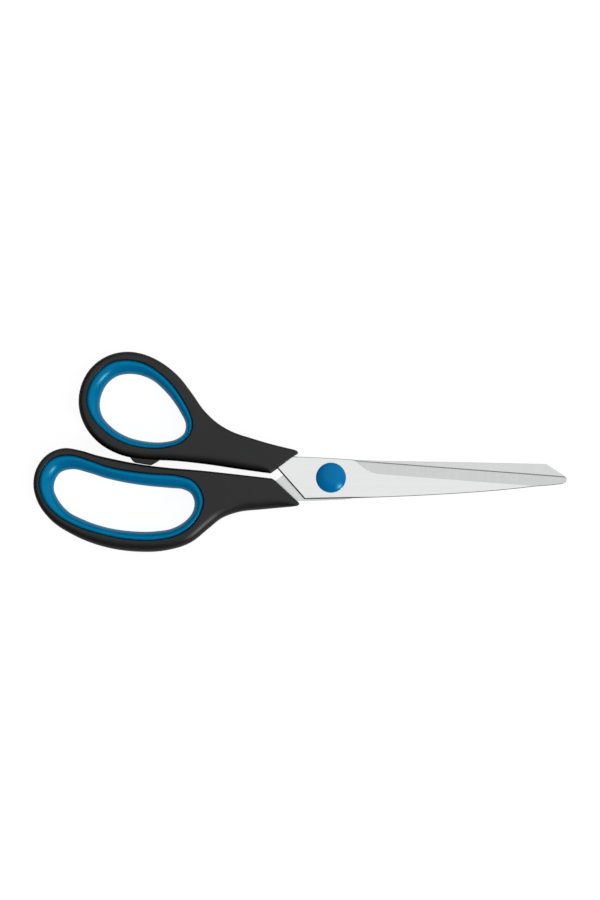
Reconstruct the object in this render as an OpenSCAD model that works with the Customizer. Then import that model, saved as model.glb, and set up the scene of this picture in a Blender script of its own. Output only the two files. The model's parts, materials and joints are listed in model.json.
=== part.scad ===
// Office scissors, lying flat and closed.
// +X runs to the blade tips, +Y to the thumb loop, +Z up from the surface they lie on.
// The origin is under the middle of the closed scissors, on that surface.
// Every outline is drawn about the pivot, and lie_flat() then puts it in place.

/* [Blades] */
// Thickness of each blade
blade_t = 1.8; // [1.4:0.1:2.2]
// Running gap between the two inner faces
blade_gap = 0.06; // [0.02:0.02:0.2]
// Distance from the pivot to the tip of the front blade
tip_reach = 92.6; // [88:0.2:98]
// Width of the ground bevel along each cutting edge
grind_w = 4.7; // [2:0.1:5.5]
// Thickness left at the cutting edge
edge_t = 0.4; // [0.2:0.05:0.8]
// Radius of the posts that lock each tang in its handle
post_r = 1.9; // [1.2:0.1:2.2]

/* [Pivot] */
// Radius of the rivet's shank
shank_r = 2.5; // [2:0.1:3]
// Radial clearance of the back blade on the shank
pivot_clear = 0.04; // [0.02:0.01:0.08]
// Radius of the rivet's head
head_r = 4.2; // [3.6:0.1:4.6]
// Height of the rivet's head
head_h = 1; // [0.8:0.1:1.3]
// Radius of the washer under the back blade
washer_r = 4.6; // [4:0.1:5.5]
// Thickness of the washer
washer_t = 0.5; // [0.4:0.1:0.8]
// Radius of the domed tail
tail_r = 3.7; // [3.3:0.1:3.9]
// Height of the domed tail
tail_h = 1.1; // [0.8:0.1:1.4]
// Diameter of the cap
cap_d = 11.8; // [11:0.1:13]
// Height of the cap over the front blade
cap_h = 2.7; // [2.5:0.1:3.4]

/* [Handles] */
// Thickness of the loops
loop_t = 11.5; // [10:0.5:14]
// Thickness of a shank at its nose
nose_t = 8.6; // [7.8:0.2:9.6]
// Thickness of the tongue that each grip is moulded round
tongue_t = 6.4; // [5:0.2:7]
// How far the tongue reaches into the grip, as a part of the grip's width
tongue_part = 0.45; // [0.3:0.05:0.6]
// Thickness of the stop lug
lug_t = 6; // [4:0.5:8]

/* [Hidden] */

// The pivot's place over the middle of the whole outline
pivot_at = [12.2, -10.2, loop_t / 2];
steel = "#cfd2d5";
black_plastic = "#2e2f31";
blue_rubber = "#0b7fc4";

// Points made between two neighbours of a hand-drawn outline
curve_steps = 4;
// Angles at which a rounded edge is cut into facets
edge_angles = [0, 22.5, 45, 67.5, 90];
round_angles = [0, 15, 30, 45, 60, 75, 90];
// Facets of the pivot's rounds, and of the wide cuts
fine = 64;
overcut = 6;
// Clearance of the cap and the washer over the blades that they face
face_clear = 0.05;
// The cap: its wall over the head, its rim's rounding, and the steps of its dome
cap_wall = 0.45;
rim_w = 0.9;
rim_h = 0.95;
dome_steps = 6;
// The small breaks on the edges of the cap and the rivet
small_break = 0.2;

// Outlines run anticlockwise about the pivot. A point of an outer outline is [x, y, edge radius],
// and a fourth value marks a corner. A seam and its hole have matching points.
corner = 1;
thumb_outer = [
    [-12.8, 9.9, 0.6, corner], [-13.2, 10.5, 0.6, corner], [-14.4, 11.0, 0.7, corner],
    [-23.4, 13.2, 0.9], [-31.5, 15.6, 1.1], [-38.6, 18.0, 1.3], [-44.5, 21.4, 1.6],
    [-49.8, 26.4, 1.8], [-54.6, 33.2, 2.0], [-59.8, 39.8, 2.0], [-66.0, 44.9, 2.0],
    [-72.6, 48.2, 2.0], [-79.7, 49.5, 2.0], [-87.4, 48.0, 2.0], [-94.0, 43.4, 2.0],
    [-98.1, 36.4, 2.0], [-99.1, 28.3, 2.1], [-96.9, 20.7, 2.3], [-91.4, 13.8, 2.5],
    [-82.6, 8.9, 2.6], [-72.5, 7.1, 3.0], [-62.0, 6.6, 3.4], [-49.6, 5.3, 4.0],
    [-36.0, 3.3, 4.0], [-23.6, 1.6, 0.9, corner], [-14.3, 8.6, 0.6, corner],
    [-13.0, 9.2, 0.6, corner]];
finger_outer = [
    [-12.4, -10.6, 0.6, corner], [-12.4, -9.9, 0.6, corner], [-13.0, -9.4, 0.6, corner],
    [-22.0, -1.0, 0.7, corner], [-23.2, -0.3, 0.8, corner], [-38.0, 1.4, 1.0],
    [-52.0, 2.9, 1.2], [-64.0, 3.9, 1.4], [-74.5, 5.2, 1.6], [-84.0, 7.0, 1.6],
    [-92.3, 8.9, 1.5], [-98.7, 10.8, 1.5], [-105.2, 11.6, 1.5], [-111.3, 9.2, 1.5],
    [-115.7, 3.6, 1.6], [-116.9, -3.0, 1.7], [-115.4, -9.2, 2.0], [-110.5, -16.2, 2.3],
    [-100.7, -22.8, 2.9], [-88.6, -27.3, 3.6], [-76.0, -29.1, 3.9], [-65.5, -28.7, 3.9],
    [-55.4, -25.7, 4.2], [-47.8, -19.8, 4.6], [-43.0, -16.0, 4.6], [-36.6, -13.6, 4.6],
    [-27.0, -12.5, 4.0], [-15.0, -11.4, 0.9, corner], [-13.1, -11.1, 0.6, corner]];
thumb_seam = [
    [-54.4, 20.8], [-55.7, 25.9], [-58.4, 30.8], [-62.6, 36.7], [-68.1, 41.7], [-73.6, 44.9],
    [-79.8, 46.1], [-85.8, 45.3], [-90.9, 41.8], [-94.8, 35.9], [-95.8, 29.6], [-93.9, 24.0],
    [-88.8, 18.3], [-80.9, 13.6], [-72.4, 11.7], [-64.2, 12.0], [-58.2, 14.2], [-55.1, 17.6]];
thumb_hole = [
    [-57.0, 20.6], [-59.0, 25.4], [-61.9, 30.0], [-65.8, 34.6], [-70.2, 38.3], [-74.9, 40.2],
    [-79.7, 40.7], [-84.0, 39.8], [-87.5, 37.2], [-89.9, 33.2], [-90.8, 28.8], [-89.9, 24.4],
    [-86.2, 19.9], [-79.8, 16.0], [-72.6, 14.2], [-65.4, 14.0], [-60.2, 15.4], [-57.6, 17.6]];
finger_seam = [
    [-50.1, -9.3], [-51.2, -5.0], [-54.3, -1.2], [-60.2, 0.7], [-70.3, 1.5], [-79.7, 2.6],
    [-88.2, 4.4], [-95.5, 7.0], [-102.8, 8.8], [-109.3, 7.4], [-113.2, 3.1], [-114.4, -2.4],
    [-112.9, -8.3], [-107.9, -14.3], [-100.2, -18.8], [-89.8, -22.2], [-78.4, -24.3],
    [-68.4, -24.4], [-60.2, -22.5], [-54.7, -18.9], [-51.4, -14.2]];
finger_hole = [
    [-53.7, -9.2], [-55.2, -6.1], [-57.8, -4.7], [-63.0, -4.1], [-71.6, -3.3], [-80.5, -2.0],
    [-88.5, -0.2], [-95.5, 2.0], [-101.6, 3.3], [-106.5, 1.8], [-108.5, -1.6], [-108.8, -4.6],
    [-107.3, -8.4], [-103.4, -13.1], [-96.9, -16.6], [-88.3, -19.5], [-78.6, -21.0],
    [-69.4, -21.1], [-62.0, -19.8], [-57.2, -17.0], [-54.3, -13.4]];

// Outlines of the two tangs inside the handles, and the posts through them
thumb_tang = [[-12.4, 8.2], [-17, 8.4], [-24, 10.6], [-38, 14.4], [-46, 17.4], [-48.5, 16.6],
              [-49.2, 14], [-48, 11.6], [-40, 9.2], [-26, 6.2], [-22, 4.7]];
finger_tang = [[-26, -3.4], [-42, -3], [-45.4, -4], [-46.4, -6.6], [-45.4, -9.2], [-42, -10.2],
               [-24, -9.4], [-16.4, -9.2]];
thumb_posts = [[-31, 10.2], [-42, 13.2]];
finger_posts = [[-28.5, -6.5], [-40.5, -6.6]];

// The stop lug under the thumb loop, which rests against the finger handle when closed
lug_outline = [[-80.6, 10.4], [-78.2, 7], [-77.4, 6.05], [-76.8, 5.8], [-70.8, 4.8],
               [-70.2, 5], [-67.6, 6.5], [-65, 9.4]];

// The straight cutting edges, from heel to tip
front_heel = [9.4, 6.8];
front_edge_end = [tip_reach - 0.6, 0.5];
back_heel = [9.4, -7.6];
back_edge_end = [tip_reach - 1.2, -0.6];
// The ground bevel stops short of the heel, where the grinding wheel lifts off
wheel_r = 40;
runout = 10.3;
grind_depth = blade_t - edge_t;

// Where a shank's faces start to taper, and where they reach nose_t
taper_start = -42;
taper_end = -13;
taper_angle = atan2((loop_t - nose_t) / 2, taper_end - taper_start);
front_chamfer = 0.9;
taper_cut = 60;
// How much further in than its rounded edge a handle's edge ring is rooted
root_depth = 0.3;

function xy(p) = [p[0], p[1]];
function unit(v) = v / norm(v);
function mix(a, b, t) = a + (b - a) * t;
function is_corner(p) = len(p) > 3;

// The direction of a closed outline at its point k, or nothing at a corner
function heading(p, k) =
    let (n = len(p), a = xy(p[(k + n - 1) % n]), b = xy(p[k]), c = xy(p[(k + 1) % n]))
    is_corner(p[k]) ? [0, 0] : unit(unit(b - a) * norm(c - b) + unit(c - b) * norm(b - a));
// A point at t between outline points k and k + 1, on a cubic with those directions
function span_point(p, k, t) =
    let (j = (k + 1) % len(p), b = xy(p[k]), c = xy(p[j]), d = norm(c - b))
    (2 * t ^ 3 - 3 * t ^ 2 + 1) * b + (t ^ 3 - 2 * t ^ 2 + t) * d * heading(p, k)
    + (3 * t ^ 2 - 2 * t ^ 3) * c + (t ^ 3 - t ^ 2) * d * heading(p, j);
// A straight span between two corners needs no points between them
function steps_after(p, k) = is_corner(p[k]) && is_corner(p[(k + 1) % len(p)]) ? 1 : curve_steps;
function smooth_loop(p) =
    [for (k = [0:len(p) - 1]) let (n = steps_after(p, k))
        for (s = [0:n - 1]) span_point(p, k, s / n)];
function edge_radii(p) =
    [for (k = [0:len(p) - 1]) let (n = steps_after(p, k))
        for (s = [0:n - 1]) mix(p[k][2], p[(k + 1) % len(p)][2], s / n)];
// The direction into an anticlockwise outline at its point i
function inward(p, i) =
    let (n = len(p), d = unit(unit(p[(i + 1) % n] - p[i]) + unit(p[i] - p[(i + n - 1) % n])))
    [-d[1], d[0]];
function bezier(a, b, c, steps) =
    [for (s = [0:steps]) let (t = s / steps) (1 - t) ^ 2 * a + 2 * t * (1 - t) * b + t ^ 2 * c];
// A section's upper half, followed by its mirror image below
function both_sides(upper) =
    concat(upper, [for (k = [len(upper) - 1:-1:0]) [upper[k][0], upper[k][1], -upper[k][2]]]);

module lie_flat() {
    translate(pivot_at) children();
}

// A closed ring through n sections of m points each, seen clockwise along the ring
module ring_solid(sections) {
    n = len(sections);
    m = len(sections[0]);
    function at(i, j) = (i % n) * m + j % m;
    polyhedron([for (s = sections) for (p = s) p],
        [for (i = [0:n - 1]) for (j = [0:m - 1]) for (half = [0, 1])
            half == 0 ? [at(i, j), at(i + 1, j), at(i + 1, j + 1)]
                      : [at(i, j), at(i + 1, j + 1), at(i, j + 1)]], convexity = 8);
}

// A plate of the loops' thickness, with its outer edge rounded
module rounded_plate(points) {
    outer = smooth_loop(points);
    radii = edge_radii(points);
    ways = [for (i = [0:len(outer) - 1]) inward(outer, i)];
    inset = [for (i = [0:len(outer) - 1]) outer[i] + ways[i] * radii[i]];
    translate([0, 0, -loop_t / 2]) linear_extrude(loop_t) polygon(inset);
    ring_solid([for (i = [0:len(outer) - 1]) let (r = radii[i], core = outer[i] + ways[i] * (r + root_depth))
        concat(both_sides([for (a = edge_angles)
                   let (p = outer[i] + ways[i] * r * (1 - sin(a)))
                   [p[0], p[1], loop_t / 2 - r * (1 - cos(a))]]),
               [[core[0], core[1], 0]])]);
}

// What tapers a shank's upper face, and chamfers its front cut from one point to another
module shank_cuts(low, high) {
    translate([taper_start, -taper_cut / 2, loop_t / 2]) rotate([0, taper_angle, 0])
        cube([taper_cut, taper_cut, overcut]);
    along = high - low;
    translate([low[0], low[1], nose_t / 2 - front_chamfer])
        rotate([0, 0, atan2(along[1], along[0])]) rotate([45, 0, 0])
            translate([-overcut / 2, 0, 0]) cube([norm(along) + overcut, overcut, overcut]);
}

// A handle: the plate, less its loop, plus the tongue that holds the grip
module handle(outer_points, seam_points, hole_points, cut_low, cut_high) {
    seam = smooth_loop(seam_points);
    hole = smooth_loop(hole_points);
    tongue = [for (i = [0:len(seam) - 1]) mix(seam[i], hole[i], tongue_part)];
    difference() {
        rounded_plate(outer_points);
        translate([0, 0, tongue_t / 2]) linear_extrude(overcut) polygon(seam);
        translate([0, 0, -tongue_t / 2 - overcut]) linear_extrude(overcut) polygon(seam);
        translate([0, 0, -overcut]) linear_extrude(2 * overcut) polygon(tongue);
        for (side = [0, 1]) mirror([0, 0, side]) shank_cuts(cut_low, cut_high);
    }
}

// A grip: a half round from the upper seam into the hole, moulded round the tongue
module grip(seam_points, hole_points) {
    seam = smooth_loop(seam_points);
    hole = smooth_loop(hole_points);
    ring_solid([for (i = [len(seam) - 1:-1:0]) let (tip = mix(seam[i], hole[i], tongue_part))
        concat(
            [for (a = concat(round_angles, [for (k = [len(round_angles) - 2:-1:0])
                                                180 - round_angles[k]]))
                let (p = mix(seam[i], hole[i], sin(a))) [p[0], p[1], cos(a) * loop_t / 2]],
            [[seam[i][0], seam[i][1], -tongue_t / 2], [tip[0], tip[1], -tongue_t / 2],
             [tip[0], tip[1], tongue_t / 2], [seam[i][0], seam[i][1], tongue_t / 2]])]);
}

module front_outline() {
    polygon(concat(
        [[-10.4, -8.5]],
        bezier([4, -8.2], [54, -6.8], [tip_reach - 12.6, -3.45], 12),
        [[tip_reach - 6.2, -3]],
        bezier([tip_reach - 2.2, -2.5], [tip_reach, -2.2], [tip_reach, -0.5], 4),
        [front_edge_end, front_heel, [8.2, 7.15], [-4.3, 7.9]],
        thumb_tang));
}

module back_outline() {
    polygon(concat(
        [[-8, -9.1], [5, -8.6], [8.2, -8.1], back_heel, back_edge_end],
        bezier([tip_reach - 0.7, -0.3], [tip_reach - 0.5, 0.4], [tip_reach - 1.1, 0.9], 3),
        [[84.7, 5.3], [58.5, 5.9], [19.3, 6.6], [0, 7.4], [-9.8, 8], [-19.2, 0.6], [-20.9, -0.8]],
        finger_tang));
}

// What a grinding wheel takes off a blade's upper face along an edge from heel to end
module grind_cut(heel, end) {
    along = end - heel;
    run = norm(along);
    translate([heel[0], heel[1], 0]) rotate([0, 0, atan2(along[1], along[0])])
        translate([0, -grind_w, 0]) rotate([-atan2(grind_depth, grind_w), 0, 0]) {
            translate([runout, -1, 0]) cube([run, 4 * grind_w, overcut]);
            translate([runout, grind_w, wheel_r]) rotate([90, 0, 0])
                cylinder(r = wheel_r, h = 4 * grind_w, center = true, $fn = 360);
        }
}

module posts(places) {
    for (p = places) translate([p[0], p[1], -overcut]) cylinder(r = post_r, h = 2 * overcut, $fn = 48);
}

module front_plate() {
    translate([0, 0, blade_gap / 2]) linear_extrude(blade_t) front_outline();
}

module back_plate() {
    translate([0, 0, -blade_gap / 2 - blade_t]) linear_extrude(blade_t) back_outline();
}

// The top blade, fixed in the thumb handle
module front_blade() {
    color(steel) lie_flat() difference() {
        front_plate();
        translate([0, 0, blade_gap / 2 + blade_t]) grind_cut(front_heel, front_edge_end);
        posts(thumb_posts);
        translate([0, 0, -overcut]) cylinder(r = shank_r, h = 2 * overcut, $fn = fine);
    }
}

// The blade underneath, fixed in the finger handle and free to turn on the rivet
module back_blade() {
    color(steel) lie_flat() difference() {
        back_plate();
        rotate([180, 0, 0]) translate([0, 0, blade_gap / 2 + blade_t])
            grind_cut([back_heel[0], -back_heel[1]], [back_edge_end[0], -back_edge_end[1]]);
        posts(finger_posts);
        translate([0, 0, -overcut]) cylinder(r = shank_r + pivot_clear, h = 2 * overcut, $fn = fine);
    }
}

module thumb_handle() {
    color(black_plastic) lie_flat() difference() {
        union() {
            handle(thumb_outer, thumb_seam, thumb_hole, [-23.6, 1.6], [-14.3, 8.6]);
            translate([0, 0, -lug_t / 2]) linear_extrude(lug_t) polygon(lug_outline);
        }
        difference() {
            front_plate();
            posts(thumb_posts);
        }
    }
}

module finger_handle() {
    color(black_plastic) lie_flat() difference() {
        handle(finger_outer, finger_seam, finger_hole, [-13, -9.4], [-22, -1]);
        difference() {
            back_plate();
            posts(finger_posts);
        }
    }
}

module thumb_grip() {
    color(blue_rubber) lie_flat() grip(thumb_seam, thumb_hole);
}

module finger_grip() {
    color(blue_rubber) lie_flat() grip(finger_seam, finger_hole);
}

// Heights of the pivot's faces over the plane between the blades
blade_top = blade_gap / 2 + blade_t;
washer_top = -blade_top - face_clear;

// The rivet: a head on the front blade, a shank through both blades and a domed tail
module pivot_rivet() {
    color(steel) lie_flat() {
        translate([0, 0, blade_top]) rotate_extrude($fn = fine)
            polygon([[0, 0], [head_r, 0], [head_r, head_h - small_break], [head_r - small_break, head_h],
                     [0, head_h]]);
        translate([0, 0, washer_top - washer_t])
            cylinder(r = shank_r, h = blade_top + small_break - washer_top + washer_t, $fn = fine);
        translate([0, 0, washer_top - washer_t])
            rotate_extrude($fn = fine)
                polygon(concat([[0, 0], [tail_r, 0]],
                    [for (a = round_angles)
                        [tail_r * cos(a), -small_break - (tail_h - small_break) * sin(a)]]));
    }
}

// The washer between the back blade and the rivet's tail
module rivet_washer() {
    color(steel) lie_flat() translate([0, 0, washer_top - washer_t]) difference() {
        cylinder(r = washer_r, h = washer_t, $fn = fine);
        translate([0, 0, -overcut]) cylinder(r = shank_r, h = 2 * overcut, $fn = fine);
    }
}

// The domed cap, snapped over the rivet's head
module pivot_cap() {
    r = cap_d / 2;
    dome_r = r - rim_w;
    rim_z = head_h + cap_wall;
    dome_rise = cap_h - rim_z;
    color(blue_rubber) lie_flat() translate([0, 0, blade_top + face_clear]) difference() {
        rotate_extrude($fn = fine) polygon(concat(
            [[0, 0], [r - small_break, 0], [r, small_break]],
            bezier([r, rim_z - rim_h], [r, rim_z - 2 * dome_rise * rim_w / dome_r], [dome_r, rim_z], 4),
            [for (k = [dome_steps - 1:-1:0])
                [dome_r * k / dome_steps, cap_h - dome_rise * (k / dome_steps) ^ 2]]));
        translate([0, 0, -overcut])
            cylinder(r = head_r, h = head_h + overcut - face_clear, $fn = fine);
    }
}

front_blade();
back_blade();
thumb_handle();
thumb_grip();
finger_handle();
finger_grip();
pivot_rivet();
rivet_washer();
pivot_cap();
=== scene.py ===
"""Looks of the office scissors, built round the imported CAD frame. Shapes are in mm about the pivot,
with z measured from the plane between the two blades, and each mesh is built in the frame, in metres."""
import json
import math

import bmesh
import bpy
import numpy as np
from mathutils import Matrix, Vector
from mathutils.geometry import delaunay_2d_cdt


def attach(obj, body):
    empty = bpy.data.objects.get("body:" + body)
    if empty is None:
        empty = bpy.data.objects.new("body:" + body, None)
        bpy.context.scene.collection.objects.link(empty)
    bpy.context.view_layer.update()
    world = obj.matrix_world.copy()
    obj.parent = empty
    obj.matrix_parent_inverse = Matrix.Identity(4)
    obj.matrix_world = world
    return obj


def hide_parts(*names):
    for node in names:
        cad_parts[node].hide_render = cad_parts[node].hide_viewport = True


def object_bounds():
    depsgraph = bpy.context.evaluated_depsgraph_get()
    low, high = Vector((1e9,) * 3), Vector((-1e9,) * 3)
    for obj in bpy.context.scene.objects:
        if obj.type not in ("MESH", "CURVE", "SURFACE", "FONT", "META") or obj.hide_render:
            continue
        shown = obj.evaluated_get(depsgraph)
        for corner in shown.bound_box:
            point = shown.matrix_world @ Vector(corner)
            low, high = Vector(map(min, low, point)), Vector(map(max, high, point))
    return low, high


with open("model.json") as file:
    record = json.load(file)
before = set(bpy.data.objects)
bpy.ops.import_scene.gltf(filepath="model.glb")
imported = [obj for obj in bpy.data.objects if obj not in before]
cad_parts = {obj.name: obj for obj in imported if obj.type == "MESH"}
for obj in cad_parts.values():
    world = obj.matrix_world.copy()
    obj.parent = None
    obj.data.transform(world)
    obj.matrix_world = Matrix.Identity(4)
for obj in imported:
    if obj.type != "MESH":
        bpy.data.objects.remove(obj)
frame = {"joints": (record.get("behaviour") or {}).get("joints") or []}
cad_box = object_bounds()

MM = 0.001
PIVOT = np.array(frame["joints"][0]["pos_m"]) / MM
HALF_T = PIVOT[2]

# ---------------------------------------------------------------- sizes
NOSE_HALF_T = 4.3  # half the handles' thickness at the front, which tapers over TAPER
TAPER = (-44.0, -13.0)
TONGUE_HALF_T = 3.2  # the handles' tongue inside the grips, and its share of a grip's width
TONGUE_PART = 0.45
BLADE_T = 1.8
BLADE_GAP = 0.06
TIP_REACH = 92.6
GRIND_W = 4.7  # the ground face, the thickness left at its edge, and the wheel's run-out at its heel
EDGE_T = 0.4
WHEEL_R = 40.0
RUNOUT = 10.3
SHANK_R = 2.5
FACE_CLEAR = 0.05

# ---------------------------------------------------------------- outlines, anticlockwise
# A handle's outer outline gives the width of its rounded edge after x and y, and C marks a corner
C = 1
THUMB_OUTER = [
    (-12.8, 9.9, 0.6, C), (-13.2, 10.5, 0.6, C), (-14.4, 11, 0.7, C), (-23.4, 13.2, 0.9),
    (-31.5, 15.6, 1.1), (-38.6, 18, 1.3), (-44.5, 21.4, 1.6), (-49.8, 26.4, 1.8), (-54.6, 33.2, 2),
    (-59.8, 39.8, 2), (-66, 44.9, 2), (-72.6, 48.2, 2), (-79.7, 49.5, 2), (-87.4, 48, 2),
    (-94, 43.4, 2), (-98.1, 36.4, 2), (-99.1, 28.3, 2.1), (-96.9, 20.7, 2.3), (-91.4, 13.8, 2.5),
    (-82.6, 8.9, 2.6), (-72.5, 7.1, 3), (-62, 6.6, 3.4), (-49.6, 5.3, 4), (-36, 3.3, 4),
    (-23.6, 1.6, 0.9, C), (-14.3, 8.6, 0.6, C), (-13, 9.2, 0.6, C)]
FINGER_OUTER = [
    (-12.4, -10.6, 0.6, C), (-12.4, -9.9, 0.6, C), (-13, -9.4, 0.6, C), (-22, -1, 0.7, C),
    (-23.2, -0.3, 0.8, C), (-38, 1.4, 1), (-52, 2.9, 1.2), (-64, 3.9, 1.4), (-74.5, 5.2, 1.6),
    (-84, 7, 1.6), (-92.3, 8.9, 1.5), (-98.7, 10.8, 1.5), (-105.2, 11.6, 1.5), (-111.3, 9.2, 1.5),
    (-115.7, 3.6, 1.6), (-116.9, -3, 1.7), (-115.4, -9.2, 2), (-110.5, -16.2, 2.3),
    (-100.7, -22.8, 2.9), (-88.6, -27.3, 3.6), (-76, -29.1, 3.9), (-65.5, -28.7, 3.9),
    (-55.4, -25.7, 4.2), (-47.8, -19.8, 4.6), (-43, -16, 4.6), (-36.6, -13.6, 4.6),
    (-27, -12.5, 4), (-15, -11.4, 0.9, C), (-13.1, -11.1, 0.6, C)]
THUMB_SEAM = [
    (-54.4, 20.8), (-55.7, 25.9), (-58.4, 30.8), (-62.6, 36.7), (-68.1, 41.7), (-73.6, 44.9),
    (-79.8, 46.1), (-85.8, 45.3), (-90.9, 41.8), (-94.8, 35.9), (-95.8, 29.6), (-93.9, 24.0),
    (-88.8, 18.3), (-80.9, 13.6), (-72.4, 11.7), (-64.2, 12.0), (-58.2, 14.2), (-55.1, 17.6)]
THUMB_HOLE = [
    (-57.0, 20.6), (-59.0, 25.4), (-61.9, 30.0), (-65.8, 34.6), (-70.2, 38.3), (-74.9, 40.2),
    (-79.7, 40.7), (-84.0, 39.8), (-87.5, 37.2), (-89.9, 33.2), (-90.8, 28.8), (-89.9, 24.4),
    (-86.2, 19.9), (-79.8, 16.0), (-72.6, 14.2), (-65.4, 14.0), (-60.2, 15.4), (-57.6, 17.6)]
FINGER_SEAM = [
    (-50.1, -9.3), (-51.2, -5.0), (-54.3, -1.2), (-60.2, 0.7), (-70.3, 1.5), (-79.7, 2.6),
    (-88.2, 4.4), (-95.5, 7.0), (-102.8, 8.8), (-109.3, 7.4), (-113.2, 3.1), (-114.4, -2.4),
    (-112.9, -8.3), (-107.9, -14.3), (-100.2, -18.8), (-89.8, -22.2), (-78.4, -24.3),
    (-68.4, -24.4), (-60.2, -22.5), (-54.7, -18.9), (-51.4, -14.2)]
FINGER_HOLE = [
    (-53.7, -9.2), (-55.2, -6.1), (-57.8, -4.7), (-63.0, -4.1), (-71.6, -3.3), (-80.5, -2.0),
    (-88.5, -0.2), (-95.5, 2.0), (-101.6, 3.3), (-106.5, 1.8), (-108.5, -1.6), (-108.8, -4.6),
    (-107.3, -8.4), (-103.4, -13.1), (-96.9, -16.6), (-88.3, -19.5), (-78.6, -21.0),
    (-69.4, -21.1), (-62.0, -19.8), (-57.2, -17.0), (-54.3, -13.4)]
THUMB_TANG = [(-12.4, 8.2), (-17, 8.4), (-24, 10.6), (-38, 14.4), (-46, 17.4), (-48.5, 16.6),
              (-49.2, 14), (-48, 11.6), (-40, 9.2), (-26, 6.2), (-22, 4.7)]
FINGER_TANG = [(-26, -3.4), (-42, -3), (-45.4, -4), (-46.4, -6.6), (-45.4, -9.2), (-42, -10.2),
               (-24, -9.4), (-16.4, -9.2)]
LUG = [(-80.6, 10.4), (-78.2, 7), (-77.4, 6.05), (-76.8, 5.8), (-70.8, 4.8), (-70.2, 5),
       (-67.6, 6.5), (-65, 9.4)]
FRONT_HEEL, FRONT_END = (9.4, 6.8), (TIP_REACH - 0.6, 0.5)
BACK_HEEL, BACK_END = (9.4, -7.6), (TIP_REACH - 1.2, -0.6)


# ---------------------------------------------------------------- curves
LAST_SPAN = 0.4  # the shortest a loop's last span may be, as a share of the longest


def norm(v):
    return float(np.linalg.norm(v))


def unit(v):
    return v / max(norm(v), 1e-9)


def smooth_loop(table, step, counts=None):
    """Points of the closed curve through a table's points, with a third column where the table
    has one, and how many points each span got."""
    n = len(table)
    xy = [np.array(p[:2], float) for p in table]
    extra = [p[2] if len(p) > 2 else 0.0 for p in table]
    made, used = [], []

    def heading(k):
        a, b, c = xy[k - 1], xy[k % n], xy[(k + 1) % n]
        if len(table[k % n]) > 3:
            return np.zeros(2)
        return unit(unit(b - a) * norm(c - b) + unit(c - b) * norm(b - a))

    for k in range(n):
        b, c = xy[k], xy[(k + 1) % n]
        d = norm(c - b)
        m = counts[k] if counts else max(1, round(d / step))
        used.append(m)
        for t in np.arange(m) / m:
            if len(table[k]) > 3 and len(table[(k + 1) % n]) > 3:
                p = b + (c - b) * t
            else:
                p = ((2 * t**3 - 3 * t**2 + 1) * b + (t**3 - 2 * t**2 + t) * d * heading(k)
                     + (3 * t**2 - 2 * t**3) * c + (t**3 - t**2) * d * heading(k + 1))
            made.append((*p, extra[k] + (extra[(k + 1) % n] - extra[k]) * t))
    return np.array(made), used


def resample(loop, step):
    """The closed loop with points a step apart."""
    closed = np.vstack([loop, loop[:1]])
    s = np.r_[0, np.cumsum(np.linalg.norm(np.diff(closed[:, :2], axis=0), axis=1))]
    t = np.linspace(0, s[-1], int(round(s[-1] / step)), endpoint=False)
    return np.stack([np.interp(t, s, column) for column in closed.T], 1)


def soften(loop, step, sigma):
    """The closed loop with its corners eased over sigma mm."""
    reach = int(3 * sigma / step)
    weights = np.exp(-0.5 * (np.arange(-reach, reach + 1) * step / sigma) ** 2)
    weights /= weights.sum()
    return sum(w * np.roll(loop, k, 0) for w, k in zip(weights, range(-reach, reach + 1)))


def thin(loop, longest, turn):
    """Indices of the points to keep, at most a length or a turn (radians) apart."""
    ahead = np.roll(loop, -1, 0)[:, :2] - loop[:, :2]
    angle = np.unwrap(np.arctan2(ahead[:, 1], ahead[:, 0]))
    length = np.linalg.norm(ahead, axis=1)
    kept, run, last = [0], 0.0, angle[0]
    for k in range(1, len(loop)):
        run += length[k - 1]
        if run >= longest or abs(angle[k] - last) >= turn:
            kept.append(k)
            run, last = 0.0, angle[k]
    if length[kept[-1]:].sum() < LAST_SPAN * longest:
        kept.pop()
    return np.array(kept)


def inward(loop):
    """Unit vectors into an anticlockwise loop."""
    d = np.roll(loop, -1, 0)[:, :2] - np.roll(loop, 1, 0)[:, :2]
    d /= np.linalg.norm(d, axis=1)[:, None]
    return np.stack([-d[:, 1], d[:, 0]], 1)


def distance(points, loop, closed=True):
    """Distance from each point to a polyline."""
    a = loop[:, :2] if closed else loop[:-1, :2]
    b = np.roll(loop[:, :2], -1, 0) if closed else loop[1:, :2]
    best = np.full(len(points), 1e9)
    for p, q in zip(a, b):
        d = q - p
        t = np.clip(((points - p) @ d) / max(d @ d, 1e-12), 0, 1)
        best = np.minimum(best, np.linalg.norm(points - p - t[:, None] * d, axis=1))
    return best


def inside(points, loop):
    """Whether each point is in a closed loop."""
    x, y = points[:, 0], points[:, 1]
    result = np.zeros(len(points), bool)
    for (ax, ay), (bx, by) in zip(loop[:, :2], np.roll(loop[:, :2], -1, 0)):
        crosses = (ay > y) != (by > y)
        with np.errstate(divide="ignore", invalid="ignore"):
            result ^= crosses & (x < (bx - ax) * (y - ay) / (by - ay) + ax)
    return result


def bezier(a, b, c, steps):
    """Points of the quadratic curve from a to c that is pulled towards b."""
    a, b, c = (np.array(p, float) for p in (a, b, c))
    return [tuple((1 - t) ** 2 * a + 2 * t * (1 - t) * b + t**2 * c)
            for t in np.linspace(0, 1, steps + 1)]


def smoothstep(x, low, high):
    """0 below low, 1 above high, and a smooth rise between."""
    t = np.clip((x - low) / (high - low), 0, 1)
    return t * t * (3 - 2 * t)


# ---------------------------------------------------------------- meshes
ROW_RISE = 0.87  # rows of an even triangle grid, as a share of its spacing
NEAR_EDGE = 0.55  # how near an edge the grid's points come, as a share of its spacing
TINY = 1e-6
NORMAL_WEIGHT = 60
SMOOTH_UNDER = 40.0


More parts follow.
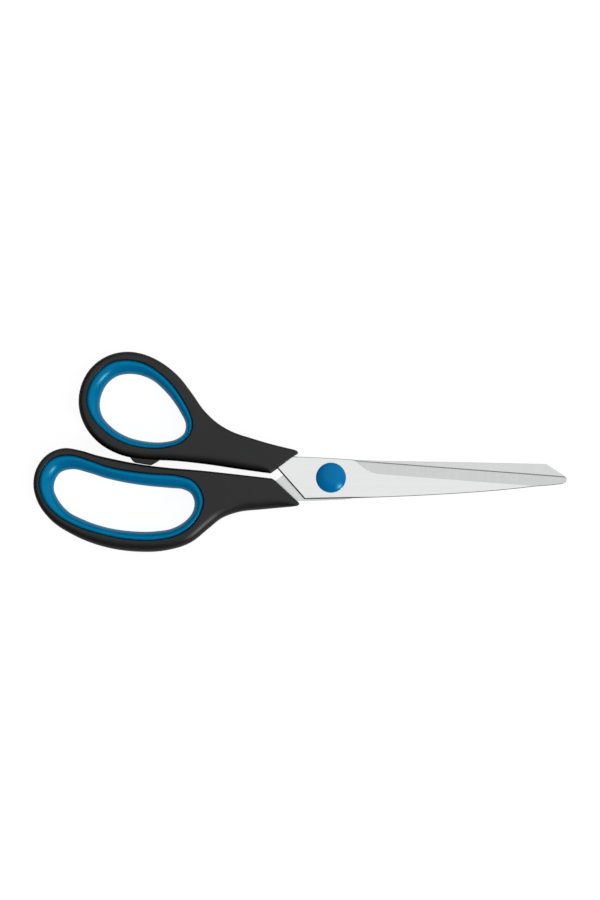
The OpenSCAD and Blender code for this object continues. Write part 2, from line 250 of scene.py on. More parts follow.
class Solid:
    """Points and faces of a mesh in the making."""

    def __init__(self):
        self.points, self.faces, self.marks = [], [], []

    def add(self, xy, z):
        """Adds points and returns their indices."""
        first = len(self.points)
        z = np.broadcast_to(z, len(xy))
        self.points += [(float(p[0]), float(p[1]), float(h)) for p, h in zip(xy, z)]
        return np.arange(first, len(self.points))

    def band(self, a, b, mark=0):
        """Quads between two closed rings of indices."""
        for p, q, r, s in zip(a, np.roll(a, -1), np.roll(b, -1), b):
            self.faces.append((p, q, r, s))
            self.marks.append(mark)

    def cover(self, outline, holes, lines, spacing, height, flip=False, mark=None):
        """Triangles over the region inside a loop of indices and outside the holes. Lines are
        open polylines that stay edges, and height gives z for the points inside."""
        rings = [outline] + holes
        at = np.array(self.points)
        index = list(np.concatenate(rings))
        where = [at[i, :2] for i in index]
        edges, first = [], 0
        for ring in rings:
            n = len(ring)
            edges += [(first + k, first + (k + 1) % n) for k in range(n)]
            first += n
        outer = at[outline]
        for line in lines:
            start = len(where)
            where += [np.array(p, float) for p in line]
            edges += [(start + k, start + k + 1) for k in range(len(line) - 1)]
        (x0, y0), (x1, y1) = outer[:, :2].min(0), outer[:, :2].max(0)
        rows = []
        for j, y in enumerate(np.arange(y0, y1, spacing * ROW_RISE)):
            xs = np.arange(x0 + spacing / 2 * (j % 2), x1, spacing)
            rows.append(np.stack([xs, np.full(len(xs), y)], 1))
        grid = np.concatenate(rows)
        keep = inside(grid, outer)
        for hole in holes:
            keep &= ~inside(grid, at[hole])
        grid = grid[keep]
        near = distance(grid, outer)
        for hole in holes:
            near = np.minimum(near, distance(grid, at[hole]))
        for line in lines:
            near = np.minimum(near, distance(grid, np.array(line, float), closed=False))
        where += list(grid[near > NEAR_EDGE * spacing])
        made = delaunay_2d_cdt([Vector(p) for p in where], edges, [], 0, TINY)
        verts, tris, origin = made[0], made[2], made[3]
        co = np.array([tuple(v) for v in verts])
        ids = []
        for k, source in enumerate(origin):
            known = [s for s in source if s < len(index)]
            if known:
                ids.append(index[known[0]])
            else:
                ids.append(int(self.add(co[k:k + 1], height(co[k:k + 1]))[0]))
        tris = np.array(tris)
        middle = co[tris].mean(1)
        good = inside(middle, outer)
        for hole in holes:
            good &= ~inside(middle, at[hole])
        marks = mark(middle) if mark else np.zeros(len(middle), int)
        for t, m in zip(tris[good], marks[good]):
            f = tuple(ids[k] for k in t)
            self.faces.append(f[::-1] if flip else f)
            self.marks.append(int(m))

    def mirrored(self):
        """Adds the mirror image below z = 0, joined along the points at z = 0."""
        twin = {}
        for k, (x, y, z) in enumerate(list(self.points)):
            if abs(z) < TINY:
                twin[k] = k
            else:
                twin[k] = len(self.points)
                self.points.append((x, y, -z))
        for f, m in list(zip(self.faces, self.marks)):
            self.faces.append(tuple(twin[k] for k in f[::-1]))
            self.marks.append(m)
        return self

    def build(self, name, materials, smooth_under=SMOOTH_UNDER, weighted=True):
        """A mesh object in the frame, in metres."""
        mesh = bpy.data.meshes.new(name)
        points = (np.array(self.points) + PIVOT) * MM
        mesh.from_pydata(points.tolist(), [], [tuple(int(i) for i in f) for f in self.faces])
        bm = bmesh.new()
        bm.from_mesh(mesh)
        bm.faces.ensure_lookup_table()
        for f, m in zip(bm.faces, self.marks):
            f.material_index = m
        bmesh.ops.recalc_face_normals(bm, faces=bm.faces)
        loose = [v for v in bm.verts if not v.link_faces]
        bmesh.ops.delete(bm, geom=loose, context="VERTS")
        bm.to_mesh(mesh)
        bm.free()
        for m in materials:
            mesh.materials.append(m)
        mesh.shade_smooth()
        mesh.set_sharp_from_angle(angle=math.radians(smooth_under))
        obj = bpy.data.objects.new(name, mesh)
        bpy.context.scene.collection.objects.link(obj)
        if weighted:
            mod = obj.modifiers.new("normals", "WEIGHTED_NORMAL")
            mod.keep_sharp = True
            mod.weight = NORMAL_WEIGHT
        return obj


# ---------------------------------------------------------------- handles
# Three edge profiles of BAND points from the side up to the top face, as (in, down) over the
# edge's width: a round, a fuller shoulder for the low edges and a flatter bevel for the front cuts
BAND = 9
PHI = np.radians(np.linspace(0, 84, BAND))
ROUND = np.stack([(1 - np.cos(PHI)) / (1 - np.cos(PHI[-1])), np.sin(PHI[-1]) - np.sin(PHI)], 1)
SHOULDER_DOWN = 0.73
SHOULDER_IN = np.array([0, 0.02, 0.075, 0.155, 0.27, 0.42, 0.58, 0.78, 1])
SHOULDER = np.stack([SHOULDER_IN, SHOULDER_DOWN * (1 - np.sqrt(1 - (1 - SHOULDER_IN) ** 2))], 1)
BEVEL = np.array([(0, 1.0), (0.05, 0.88), (0.15, 0.76), (0.32, 0.6), (0.5, 0.43), (0.66, 0.28),
                  (0.82, 0.14), (0.92, 0.05), (1.05, 0)]) / 1.05
CUT_EDGE = 0.95  # the bevel's width, how near the cut's line it is and what it leaves at the ends
CUT_NEAR, CUT_ENDS = 0.3, 0.02
LOW_FACING = (0.35, 0.8)  # where the shoulder fades in as an edge turns to face down
LOOP_STEP, LOOP_EASE = 0.25, 0.35
LOOP_LONGEST, LOOP_TURN = 1.5, math.radians(5)
DRAFT = 0.12  # how far the sides lean in by the top of the edge
PARTING_IN, PARTING_H = 0.1, 0.14  # the fine groove where the mould's halves met
SEAM_EDGE = 0.5  # the rounding down to the grip, and its steps as (share of SEAM_EDGE out, drop)
SEAM_STEPS = ((0.6, 0.07), (0.2, 0.24), (0.0, 0.55))
CROWN, CROWN_REACH = 0.28, 4.5
HANDLE_STEP, HANDLE_SPACING = 1.3, 2.4


def thickness(x):
    """Half the thickness of a handle's middle at x."""
    return HALF_T + (NOSE_HALF_T - HALF_T) * smoothstep(x, *TAPER)


def outer_loop(table, low_edge, cut):
    """A handle's outline: points, inward vectors, edge width, and the shares of the shoulder and
    bevel profiles. Low_edge has (x, width, share) along the edges that face down in y."""
    fine = soften(resample(smooth_loop(table, LOOP_STEP)[0], LOOP_STEP), LOOP_STEP, LOOP_EASE)
    kept = thin(fine, LOOP_LONGEST, LOOP_TURN)
    loop, ways = fine[kept, :2], inward(fine)[kept]
    width = fine[kept, 2]
    xs, widths, shares = (np.array(v, float) for v in zip(*low_edge))
    facing = smoothstep(ways[:, 1], *LOW_FACING)
    share = np.interp(loop[:, 0], xs, shares, left=0, right=0) * facing
    width = width + (np.interp(loop[:, 0], xs, widths) - width) * share
    a, b = (np.array(p, float) for p in cut)
    along = unit(b - a)
    t = (loop - a) @ along / norm(b - a)
    off = np.abs((loop - a) @ np.array([-along[1], along[0]]))
    bevel = np.where((t > CUT_ENDS) & (t < 1 - CUT_ENDS) & (off < CUT_NEAR), 1.0, 0.0)
    width = np.where(bevel > 0, CUT_EDGE, width)
    return loop, ways, width, share, bevel


def handle(name, table, seam_table, hole_table, low_edge, cut, material):
    """A moulded handle with the tongue that its grip is moulded round, and its top's height."""
    loop, ways, width, share, bevel = outer_loop(table, low_edge, cut)
    seam, counts = smooth_loop(seam_table, HANDLE_STEP)
    hole = smooth_loop(hole_table, HANDLE_STEP, counts)[0][:, :2]
    seam = seam[:, :2]
    out_of_seam = -inward(seam)
    brim = seam + out_of_seam * SEAM_EDGE
    tongue = seam + (hole - seam) * TONGUE_PART
    inner = loop + ways * width[:, None]

    def top(p):
        return thickness(p[:, 0]) - CROWN * np.exp(-distance(p, inner) / CROWN_REACH)

    s = Solid()
    rim = thickness(loop[:, 0]) - CROWN
    shares = ((ROUND, 1 - share - bevel), (SHOULDER, share), (BEVEL, bevel))
    profile = sum(shape[None] * part[:, None, None] for shape, part in shares) * width[:, None, None]
    previous = s.add(loop + ways * PARTING_IN, 0.0)
    rings = [(loop, PARTING_H)]
    for k in range(BAND):
        drawn = DRAFT * (1 - k / (BAND - 1))
        rings.append((loop + ways * (profile[:, k, 0] + drawn)[:, None], rim - profile[:, k, 1]))
    rings[-1] = (inner, rim)
    for xy, z in rings:
        ring = s.add(xy, z)
        s.band(previous, ring)
        previous = ring
    outer = previous
    at_seam = top(brim)
    ring = edge = s.add(brim, at_seam)
    for out, drop in SEAM_STEPS:
        after = s.add(seam + out_of_seam * SEAM_EDGE * out, at_seam - drop)
        s.band(ring, after)
        ring = after
    for xy, z in ((seam, TONGUE_HALF_T), (tongue, TONGUE_HALF_T), (tongue, 0.0)):
        after = s.add(xy, z)
        s.band(ring, after)
        ring = after
    s.cover(outer, [edge], [], HANDLE_SPACING, top)
    return s.mirrored().build(name, [material]), top


GRIP_STEP = 1.1
GRIP_ANGLES = np.radians([0, 3, 6.5, 10, 15, 21, 28, 36, 45, 54, 63, 72, 81])
GROOVE_DEPTH, GROOVE_W = 0.95, 1.7  # the hollow next to the seam


def grip(name, seam_table, hole_table, top, material):
    """A grip's rounded lining, from the seam at the handle's top to the hole at mid height."""
    seam, counts = smooth_loop(seam_table, GRIP_STEP)
    hole = smooth_loop(hole_table, GRIP_STEP, counts)[0][:, :2]
    seam = seam[:, :2]
    height = top(seam)
    across = np.linalg.norm(hole - seam, axis=1)
    tongue = seam + (hole - seam) * TONGUE_PART
    s = Solid()
    previous = s.add(tongue, 0.0)
    for xy, z in ((tongue, TONGUE_HALF_T), (seam, TONGUE_HALF_T)):
        ring = s.add(xy, z)
        s.band(previous, ring)
        previous = ring
    for a in GRIP_ANGLES:
        u = math.sin(a)
        groove = GROOVE_DEPTH * np.clip(1 - u * across / GROOVE_W, 0, 1) ** 2
        ring = s.add(seam + (hole - seam) * u, height * math.cos(a) - groove)
        s.band(previous, ring)
        previous = ring
    s.band(previous, s.add(hole, 0.0))
    return s.mirrored().build(name, [material])


# ---------------------------------------------------------------- blades
BLADE_TOP = BLADE_GAP / 2 + BLADE_T
GRIND_SLOPE = (BLADE_T - EDGE_T) / GRIND_W
LEAF_STEP, LEAF_EASE = 0.3, 0.12
LEAF_LONGEST, LEAF_TURN = 1.6, math.radians(4)
LEAF_SPACING, INNER_SPACING = 2.6, 4.0
LEAF_SMOOTH_UNDER = 11
FLAT_ABOVE = BLADE_T - 0.004  # the ground face ends where it rises past this
INNER_BREAK = (0.06, 0.05)  # the edge of the inner face, as (in, up)
MIN_SIDE = 0.07
ON_LINE, PAST_HEEL, PAST_END = 0.15, 0.5, 0.2  # which of the outline counts as the cutting edge
HONED_W, HONED_H = 0.42, 0.08  # the narrow facet along the cutting edge, and where it starts
BREAK_W, BREAK_DROP = 0.25, 0.17  # the broken outer edge
LOWER_W, LOWER_DROP = 0.32, 0.23  # what the lower edge round the pivot adds to it, up to an x
LOWER_FADE, LOWER_FACING = (-20, -4), (0.1, 0.4)
HALF_IN, HALF_DROP = 0.3, 0.64  # where the broken edge bends, as shares of its width and drop
CREASE_FROM, CREASE_STEPS = 0.4, (0.8, 1.0)  # its start, and its steps in the run-out and past it
CREASE_CLEAR, CREASE_LOW, CREASE_REACH = 0.15, 0.3, 2.5
BORE_CLEAR, BORE_STEPS = 0.02, 64
# The ground steel's darker colour is painted shade. It is used on the ground face and on the broken outer
# edge.
FLAT, GROUND_SHADED, INNER = 0, 1, 2  # the order of a blade's materials


def circle(steps):
    """Points round the unit circle."""
    angles = np.linspace(0, 2 * math.pi, steps, endpoint=False)
    return np.stack([np.cos(angles), np.sin(angles)], 1)


def edge_line(heel, end, way):
    """Unit vectors along a blade's edge line and square to it, into the blade, way being +1 where
    the blade lies clockwise of the line."""
    along = unit(np.array(end) - np.array(heel))
    return along, np.array([along[1], -along[0]]) * way


def wheel_lift(t):
    """How far the grinding wheel has risen off the blade at t along the edge line."""
    back = np.clip(RUNOUT - t, 0, WHEEL_R - 1)
    return (WHEEL_R - np.sqrt(WHEEL_R**2 - back**2)) * math.hypot(1, GRIND_SLOPE)


def grind_height(p, heel, end, way):
    """Height over the inner face of a blade's ground outer face, and the distances along and
    across the edge line."""
    along, side = edge_line(heel, end, way)
    t = (p - np.array(heel)) @ along
    w = (p - np.array(heel)) @ side
    return EDGE_T + w * GRIND_SLOPE + wheel_lift(t), t, w


def crease(heel, end, way, loop):
    """The line where the ground face meets the flat one. Each end is the loop's point nearest to
    that level among those close by."""
    along, side = edge_line(heel, end, way)
    length = norm(np.array(end) - heel)
    t = np.concatenate([np.arange(CREASE_FROM, RUNOUT, CREASE_STEPS[0]),
                        np.arange(RUNOUT, length, CREASE_STEPS[1])])
    w = GRIND_W - wheel_lift(t) / GRIND_SLOPE
    line = np.array(heel) + t[:, None] * along + w[:, None] * side
    line = line[inside(line, loop) & (distance(line, loop) > CREASE_CLEAR) & (w > CREASE_LOW)]
    level = np.abs(grind_height(loop, heel, end, way)[0] - BLADE_T)
    first, last = (loop[np.argmin(np.where(np.linalg.norm(loop - p, axis=1) > CREASE_REACH, np.inf, level))]
                   for p in (line[0], line[-1]))
    return np.vstack([first, line, last])


def blade(name, outline, heel, end, way, up, materials):
    """A blade whose inner face is next to z = 0 and whose outer face is at up * BLADE_TOP."""
    fine = soften(resample(np.array(outline, float), LEAF_STEP), LEAF_STEP, LEAF_EASE)
    kept = thin(fine, LEAF_LONGEST, LEAF_TURN)
    loop, ways = fine[kept], inward(fine)[kept]
    _, t, w = grind_height(loop, heel, end, way)
    length = norm(np.array(end) - heel)
    on_edge = (np.abs(w) < ON_LINE) & (t > PAST_HEEL) & (t < length + PAST_END)

    def height(p):
        return BLADE_GAP / 2 + np.minimum(BLADE_T, grind_height(p, heel, end, way)[0])

    s = Solid()
    gap = BLADE_GAP / 2
    floor = s.add(loop + ways * INNER_BREAK[0], gap)
    low = s.add(loop, gap + INNER_BREAK[1])
    s.band(floor, low)
    lower = smoothstep(-loop[:, 0], *LOWER_FADE) * smoothstep(ways[:, 1], *LOWER_FACING)
    broken = np.where(on_edge, HONED_W, BREAK_W + LOWER_W * lower)
    drop = BREAK_DROP + LOWER_DROP * lower
    inner = loop + ways * broken[:, None]
    crest = height(inner)
    honed = gap + HONED_H
    low_edge = np.where(on_edge, honed, np.minimum(crest, height(loop)) - drop)
    mid = s.add(loop, np.maximum(low_edge, gap + MIN_SIDE))
    s.band(low, mid)
    half = s.add(loop + ways * (broken * HALF_IN)[:, None],
                 np.where(on_edge, honed + HALF_IN * (crest - honed), crest - HALF_DROP * drop))
    # The broken outer edge takes the ground steel, so its darker colour paints shade along the edge.
    s.band(mid, half, GROUND_SHADED)
    rim = s.add(inner, crest)
    s.band(half, rim, GROUND_SHADED)
    bore = circle(BORE_STEPS) * (SHANK_R + BORE_CLEAR)
    bore_inner, bore_outer = s.add(bore, gap), s.add(bore, BLADE_TOP)
    s.band(bore_inner, bore_outer)

    # The ground face takes the darker steel, whose colour is painted shade of a face tilted away from the
    # light.
    def mark(p):
        return np.where(grind_height(p, heel, end, way)[0] < FLAT_ABOVE, GROUND_SHADED, FLAT)

    s.cover(rim, [bore_outer], [crease(heel, end, way, inner)], LEAF_SPACING, height, mark=mark)
    s.cover(floor, [bore_inner], [], INNER_SPACING, lambda p: np.full(len(p), gap), flip=True,
            mark=lambda p: np.full(len(p), INNER))
    s.points = [(x, y, z * up) for x, y, z in s.points]
    return s.build(name, materials, smooth_under=LEAF_SMOOTH_UNDER)


# ---------------------------------------------------------------- round parts
LATHE_STEPS = 96


def lathe(name, profile, material, smooth_under=SMOOTH_UNDER):
    """A closed solid of revolution about the pivot, from a closed profile of (radius, z)."""
    s = Solid()
    ring_of = [s.add(circle(LATHE_STEPS) * r if r > TINY else np.zeros((1, 2)), z)
               for r, z in profile]
    for a, b in zip(ring_of, ring_of[1:] + ring_of[:1]):
        if len(a) > 1 and len(b) > 1:
            s.band(a, b)
        elif len(a) > 1 or len(b) > 1:
            ring, tip = (a, b[0]) if len(a) > 1 else (b, a[0])
            for p, q in zip(ring, np.roll(ring, -1)):
                s.faces.append((p, q, tip))
                s.marks.append(0)
    return s.build(name, [material], smooth_under=smooth_under)


# ---------------------------------------------------------------- materials
def new_material(name):
    """A material, its node tree and its shader."""
    material = bpy.data.materials.new(name)
    material.use_nodes = True
    tree = material.node_tree
    shader = next(n for n in tree.nodes if n.type == "BSDF_PRINCIPLED")
    return material, tree, shader


def node(tree, kind, inputs=None, **settings):
    """A node with its inputs linked to sockets or set to values."""
    made = tree.nodes.new(kind)
    for key, value in settings.items():
        setattr(made, key, value)
    for key, value in (inputs or {}).items():
        if isinstance(value, bpy.types.NodeSocket):
            tree.links.new(value, made.inputs[key])
        else:
            made.inputs[key].default_value = value
    return made


def noise(tree, scale, detail, stretch=(1, 1, 1), turn=(0, 0, 0), rough=0.5):
    """Noise over the object, its pattern scaled by a factor on each axis."""
    place = node(tree, "ShaderNodeTexCoord")
    mapping = node(tree, "ShaderNodeMapping", {"Vector": place.outputs["Object"], "Scale": stretch,
                                               "Rotation": turn})
    return node(tree, "ShaderNodeTexNoise", {"Vector": mapping.outputs[0], "Scale": scale,
                                             "Detail": detail, "Roughness": rough}).outputs[0]


NOISE_LOW, NOISE_HIGH = 0.3, 0.7  # where nearly all of a noise's values lie


def spread(tree, value, low, high):
    """A noise's value onto low to high."""
    return node(tree, "ShaderNodeMapRange", {"Value": value, "From Min": NOISE_LOW, "From Max": NOISE_HIGH,
                                             "To Min": low, "To Max": high}).outputs[0]


def tint(tree, value, dark, light):
    """A colour between two, by a noise's value."""
    ramp = node(tree, "ShaderNodeValToRGB", {"Fac": value})
    ends = ((NOISE_LOW, dark), (NOISE_HIGH, light))
    for stop, (at, colour) in zip(ramp.color_ramp.elements, ends):
        stop.position, stop.color = at, (*colour, 1)
    return ramp.outputs[0]


def bump(tree, shader, height, depth):
    """Bump on a shader, depth in metres."""
    made = node(tree, "ShaderNodeBump", {"Height": height, "Distance": depth})
    tree.links.new(made.outputs[0], shader.inputs["Normal"])


def plastic(name, dark, light, rough, grain, depth, specular, shine=(1, 1, 1)):
    """A moulded plastic with cloudy colour and roughness and a fine grain."""
    material, tree, shader = new_material(name)
    broad = noise(tree, 60.0, 3.0)
    fine = noise(tree, grain, 5.0, rough=0.6)
    tree.links.new(tint(tree, broad, dark, light), shader.inputs["Base Color"])
    tree.links.new(spread(tree, broad, *rough), shader.inputs["Roughness"])
    shader.inputs["Specular IOR Level"].default_value = specular
    shader.inputs["Specular Tint"].default_value = (*shine, 1)
    bump(tree, shader, fine, depth)
    return material


def steel(name, dark, light, rough, depth, stretch=(1, 1, 1), turn=(0, 0, 0), grain=900.0):
    """A steel whose grain is drawn out into lines by stretch."""
    material, tree, shader = new_material(name)
    lines = noise(tree, grain, 6.0, stretch=stretch, turn=turn, rough=0.65)
    broad = noise(tree, 35.0, 3.0)
    tree.links.new(tint(tree, lines, dark, light), shader.inputs["Base Color"])
    tree.links.new(spread(tree, broad, *rough), shader.inputs["Roughness"])
    shader.inputs["Metallic"].default_value = 1.0
    bump(tree, shader, lines, depth)
    return material


black = plastic("handle_plastic", (0.0122, 0.0123, 0.0127), (0.0162, 0.0163, 0.0168), (0.35, 0.4),
                grain=2600.0, depth=0.00002, specular=0.4)
blue = plastic("grip_rubber", (0.0002, 0.16, 0.335), (0.0004, 0.18, 0.372), (0.26, 0.29),
               grain=1800.0, depth=0.000008, specular=0.72, shine=(0.2, 0.6, 0.85))
cap_blue = plastic("cap_plastic", (0.0002, 0.15, 0.39), (0.0004, 0.16, 0.41), (0.25, 0.28),
                   grain=900.0, depth=0.000003, specular=0.9, shine=(0.2, 0.5, 0.7))
flat_steel = steel("blade_flat", (0.79, 0.794, 0.798), (0.82, 0.824, 0.828), (0.2, 0.23),
                   depth=0.000001, stretch=(0.02, 1, 1))
# The ground face's steel: its rougher finish and the grain across it are the grind's own, and its darker base
# colour is painted shade of a face tilted away from the light.
ground_steel_shaded = steel("blade_ground_shaded", (0.615, 0.619, 0.623), (0.655, 0.659, 0.663), (0.24, 0.27),
                     depth=0.000002, stretch=(1, 0.02, 0.3), turn=(0, 0, 0.05))
inner_steel = steel("blade_inner", (0.675, 0.679, 0.683), (0.705, 0.709, 0.713), (0.25, 0.29),
                    depth=0.000001, stretch=(1, 0.03, 1))
pin_steel = steel("rivet_steel", (0.6, 0.6, 0.61), (0.72, 0.72, 0.73), (0.22, 0.3),
                  depth=0.000002, grain=2500.0)

# ---------------------------------------------------------------- the scissors
# The line of each handle's front cut, and its low edge as (x, width, share of shoulder)
THUMB_CUT = ((-23.6, 1.6), (-14.3, 8.6))
FINGER_CUT = ((-13.0, -9.4), (-22.0, -1.0))
THUMB_LOW = [(-80, 2.6, 0), (-72, 3.0, 0.35), (-64, 3.6, 0.85), (-52, 4.2, 1), (-36, 4.2, 1),
             (-28, 3.8, 1), (-24.4, 2.2, 0.9)]
FINGER_LOW = [(-66, 3.9, 0), (-56, 4.4, 0.5), (-48, 5.4, 1), (-36, 5.6, 1), (-26, 5.2, 1),
              (-20, 4.0, 1), (-15.6, 2.2, 0.8)]
thumb_shell, thumb_top = handle("thumb_shell", THUMB_OUTER, THUMB_SEAM, THUMB_HOLE, THUMB_LOW,
                                THUMB_CUT, black)
finger_shell, finger_top = handle("finger_shell", FINGER_OUTER, FINGER_SEAM, FINGER_HOLE, FINGER_LOW,
                                  FINGER_CUT, black)
thumb_ring = grip("thumb_ring", THUMB_SEAM, THUMB_HOLE, thumb_top, blue)
finger_ring = grip("finger_ring", FINGER_SEAM, FINGER_HOLE, finger_top, blue)

front_outline = ([(-10.4, -8.5)] + bezier((4, -8.2), (54, -6.8), (TIP_REACH - 12.6, -3.45), 40)
                 + [(TIP_REACH - 6.2, -3)]
                 + bezier((TIP_REACH - 2.2, -2.5), (TIP_REACH, -2.2), (TIP_REACH, -0.5), 8)
                 + [FRONT_END, FRONT_HEEL, (8.2, 7.15), (-4.3, 7.9)] + THUMB_TANG)
back_outline = ([(-8, -9.1), (5, -8.6), (8.2, -8.1), BACK_HEEL, BACK_END]
                + bezier((TIP_REACH - 0.7, -0.3), (TIP_REACH - 0.5, 0.4), (TIP_REACH - 1.1, 0.9), 6)
                + [(84.7, 5.3), (58.5, 5.9), (19.3, 6.6), (0, 7.4), (-9.8, 8), (-19.2, 0.6),
                   (-20.9, -0.8)] + FINGER_TANG)
steels = [flat_steel, ground_steel_shaded, inner_steel]
front = blade("front_leaf", front_outline, FRONT_HEEL, FRONT_END, 1, 1, steels)
back = blade("back_leaf", back_outline, BACK_HEEL, BACK_END, -1, -1, steels)

CAP_R, CAP_H = 5.9, 2.7
CAP_WALL, RIM_W, RIM_H = 0.45, 0.9, 0.95
HEAD_R, HEAD_H = 4.2, 1.0
WASHER_R, WASHER_T, WASHER_BREAK = 4.6, 0.5, 0.1
TAIL_R, TAIL_H, TAIL_SIDE = 3.7, 1.1, 0.2
base = BLADE_TOP + FACE_CLEAR
dome_r, rim_z = CAP_R - RIM_W, HEAD_H + CAP_WALL
rise = CAP_H - rim_z
dome = [(r, base + CAP_H - rise * (r / dome_r) ** 2) for r in np.linspace(dome_r, 0, 18)]
rim = bezier((CAP_R, base + rim_z - RIM_H), (CAP_R, base + rim_z - 2 * rise * RIM_W / dome_r),
             (dome_r, base + rim_z), 7)
cap = lathe("cap", [(HEAD_R, base), (CAP_R - 0.25, base), (CAP_R - 0.06, base + 0.08), (CAP_R, base + 0.25)]
            + rim[:-1] + dome + [(0, base + HEAD_H), (HEAD_R, base + HEAD_H)], cap_blue, smooth_under=35)
head_top = BLADE_TOP + HEAD_H
washer_top = -BLADE_TOP - FACE_CLEAR
washer_bottom = washer_top - WASHER_T
tail_side = washer_bottom - TAIL_SIDE
tail = [(TAIL_R * math.cos(a), tail_side - (TAIL_H - TAIL_SIDE) * math.sin(a))
        for a in np.radians(np.linspace(8, 82, 9))]
rivet = lathe("rivet", [(0, head_top), (HEAD_R - 0.3, head_top), (HEAD_R - 0.05, head_top - 0.2),
                        (HEAD_R, head_top - 0.4), (HEAD_R, BLADE_TOP), (SHANK_R, BLADE_TOP),
                        (SHANK_R, washer_bottom), (TAIL_R, washer_bottom), (TAIL_R, tail_side)]
              + tail + [(0, washer_bottom - TAIL_H)], pin_steel)
washer_hole, washer_flat = SHANK_R + 0.01, WASHER_R - WASHER_BREAK
washer = lathe("washer", [(washer_hole, washer_top), (washer_flat, washer_top),
                          (WASHER_R, washer_top - WASHER_BREAK), (WASHER_R, washer_bottom + WASHER_BREAK),
                          (washer_flat, washer_bottom), (washer_hole, washer_bottom)], pin_steel)

# The stop lug, one rounded block that grows out of the thumb loop, its edge steps as (in, z)
LUG_STEPS = ((0.02, 2.6), (0.07, 2.82), (0.17, 2.94), (0.32, 3.0))
LUG_TOP = LUG_STEPS[-1][1]
LUG_STEP, LUG_LONGEST, LUG_TURN, LUG_SPACING = 0.25, 1.0, math.radians(8), 1.6
lug_loop = soften(resample(np.array(LUG, float), LUG_STEP), LUG_STEP, LUG_STEP)
kept = thin(lug_loop, LUG_LONGEST, LUG_TURN)
lug_xy, lug_ways = lug_loop[kept], inward(lug_loop)[kept]
s = Solid()
previous = s.add(lug_xy, 0.0)
for inset, z in LUG_STEPS:
    ring = s.add(lug_xy + lug_ways * inset, z)
    s.band(previous, ring)
    previous = ring
s.cover(previous, [], [], LUG_SPACING, lambda p: np.full(len(p), LUG_TOP))
lug = s.mirrored().build("lug", [black], weighted=False)
join = thumb_shell.modifiers.new("lug", "BOOLEAN")
join.operation, join.solver, join.object = "UNION", "EXACT", lug
thumb_shell.modifiers.move(1, 0)
with bpy.context.temp_override(object=thumb_shell):
    bpy.ops.object.modifier_apply(modifier="lug")
bpy.data.objects.remove(lug)
thumb_shell.data.set_sharp_from_angle(angle=math.radians(SMOOTH_UNDER))

for piece, body, old, slot in (
        (thumb_shell, "thumb_side", "thumb_handle", "handle_plastic"),
        (finger_shell, "finger_side", "finger_handle", "handle_plastic"),
        (thumb_ring, "thumb_side", "thumb_grip", "grip_rubber"),
        (finger_ring, "finger_side", "finger_grip", "grip_rubber"),
        (front, "thumb_side", "front_blade", "blade_steel"),
        (back, "finger_side", "back_blade", "blade_steel"),
        (cap, "thumb_side", "pivot_cap", "cap_plastic"),
        (rivet, "thumb_side", "pivot_rivet", "rivet_steel"),
        (washer, "thumb_side", "rivet_washer", "rivet_steel")):
    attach(piece, body)
    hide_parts(old)

# ---------------------------------------------------------------- studio
FLOOR_HALF = 6
FLOOR_GREY = 0.14
FLOOR_GLOW, FLOOR_GLOW_MIRRORED = 0.92, 0.3
floor_mesh = bpy.data.meshes.new("floor")
floor_mesh.from_pydata([(x * FLOOR_HALF, y * FLOOR_HALF, 0) for x, y in ((-1, -1), (1, -1), (1, 1), (-1, 1))],
                       [], [(0, 1, 2, 3)])
floor = bpy.data.objects.new("floor", floor_mesh)
bpy.context.scene.collection.objects.link(floor)
material, tree, shader = new_material("floor_white")
shader.inputs["Base Color"].default_value = (FLOOR_GREY, FLOOR_GREY, FLOOR_GREY, 1)
shader.inputs["Roughness"].default_value = 1.0
shader.inputs["Specular IOR Level"].default_value = 0.0
shader.inputs["Emission Color"].default_value = (1, 1, 1, 1)
# The floor glows less in reflections, as a cut-out product shot has it
ray = node(tree, "ShaderNodeLightPath")
glow = node(tree, "ShaderNodeMapRange", {"Value": ray.outputs["Is Glossy Ray"], "To Min": FLOOR_GLOW,
                                         "To Max": FLOOR_GLOW_MIRRORED})
tree.links.new(glow.outputs[0], shader.inputs["Emission Strength"])
floor_mesh.materials.append(material)

world = bpy.data.worlds.new("studio")
bpy.context.scene.world = world
world.use_nodes = True
tree = world.node_tree
sky = next(n for n in tree.nodes if n.type == "BACKGROUND")
place = node(tree, "ShaderNodeTexCoord")


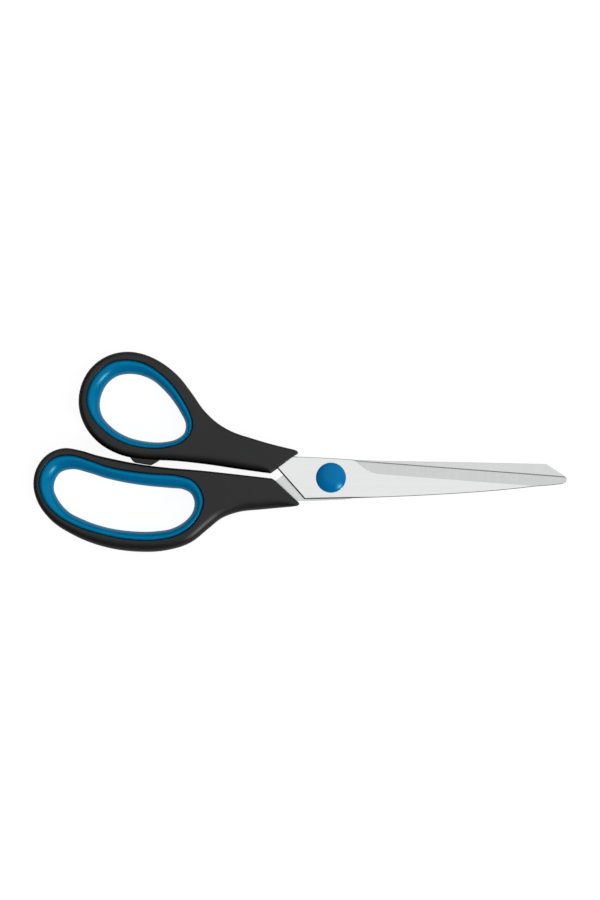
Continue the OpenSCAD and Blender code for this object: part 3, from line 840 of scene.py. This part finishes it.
def sky_lobe(axis, levels):
    """Light that depends on the direction's cosine to an axis, as stops of (cosine, level). The
    first two stops are its ends, and the others lie between them."""
    lean = node(tree, "ShaderNodeVectorMath",
                {0: place.outputs["Generated"], 1: Vector(axis).normalized()}, operation="DOT_PRODUCT")
    ramp = node(tree, "ShaderNodeValToRGB", {"Fac": lean.outputs["Value"]})
    stops = ramp.color_ramp
    for k, (at, level) in enumerate(levels):
        stop = stops.elements[k] if k < 2 else stops.elements.new(at)
        stop.position, stop.color = at, (level, level, level, 1)
    return ramp.outputs[0]


overhead = sky_lobe((0.1, 0.3, 1.0), ((0.0, 0.15), (1.0, 1.0), (0.26, 0.09), (0.5, 0.2), (0.66, 0.6),
                                      (0.84, 0.97)))
side = sky_lobe((0.88, 0.42, 0.2), ((0.0, 0.0), (1.0, 1.0), (0.7, 0.0), (0.82, 0.75), (0.92, 0.97)))
both = node(tree, "ShaderNodeVectorMath", {0: overhead, 1: side}, operation="MAXIMUM")
tree.links.new(both.outputs[0], sky.inputs[0])
sky.inputs[1].default_value = 1.0

# One small softbox for the highlights
KEY_TOWARD, KEY_AWAY = Vector((0.586, -0.586, 0.56)), 1.2
key_data = bpy.data.lights.new("key", "AREA")
key_data.energy, key_data.size = 5.2, 0.25
key = bpy.data.objects.new("key", key_data)
key.location = KEY_TOWARD.normalized() * KEY_AWAY
key.rotation_euler = (-KEY_TOWARD).to_track_quat("-Z", "Y").to_euler()
bpy.context.scene.collection.objects.link(key)

# The camera looks straight down, through a long lens, at the middle of the scissors
FRAME_TALL = 0.35357  # metres of the scene from the top of the picture to its bottom
AIM_UP = 0.0007
LENS, SENSOR = 300.0, 36.0
camera_data = bpy.data.cameras.new("camera")
camera_data.lens, camera_data.sensor_width = LENS, SENSOR
camera_data.clip_end = 20
camera = bpy.data.objects.new("camera", camera_data)
aim = (cad_box[0] + cad_box[1]) / 2
camera.location = (aim.x, aim.y + AIM_UP, aim.z + FRAME_TALL * LENS / SENSOR)
bpy.context.scene.collection.objects.link(camera)
bpy.context.scene.camera = camera
# A little more contrast, so that the deepest shadows are black
BLACK_LEVEL = 0.008
view = bpy.context.scene.view_settings
view.view_transform = "Standard"
view.use_curve_mapping = True
view.curve_mapping.black_level = (BLACK_LEVEL, BLACK_LEVEL, BLACK_LEVEL)
view.curve_mapping.update()
